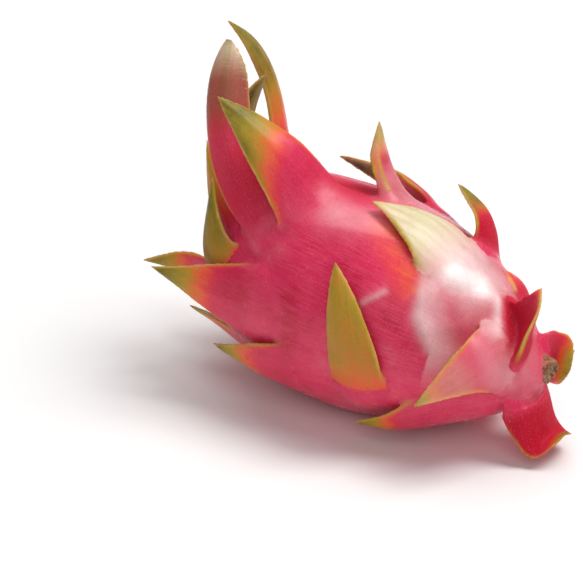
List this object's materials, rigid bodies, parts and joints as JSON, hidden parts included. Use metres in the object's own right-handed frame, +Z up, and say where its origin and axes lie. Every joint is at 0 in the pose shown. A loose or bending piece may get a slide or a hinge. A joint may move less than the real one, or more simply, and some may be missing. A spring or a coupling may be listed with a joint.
{
  "type": "dragon fruit",
  "caption": "Whole ripe red-skinned dragon fruit lying on its side, egg-shaped body covered in leafy bracts that flare at the crown.",
  "frame": {"origin": "middle of the small flat spot under the belly, on the surface the fruit lies on", "axes": "+Z up; the fruit lies along X, stem end at +X and crown of long bracts at -X, crown end a little higher; -Y is the near side"},
  "size_m": [0.1754, 0.1077, 0.1319],
  "materials": {
    "skin": null
  },
  "bodies": {
    "root": {"dragon_fruit": "skin"}
  },
  "joints": []
}
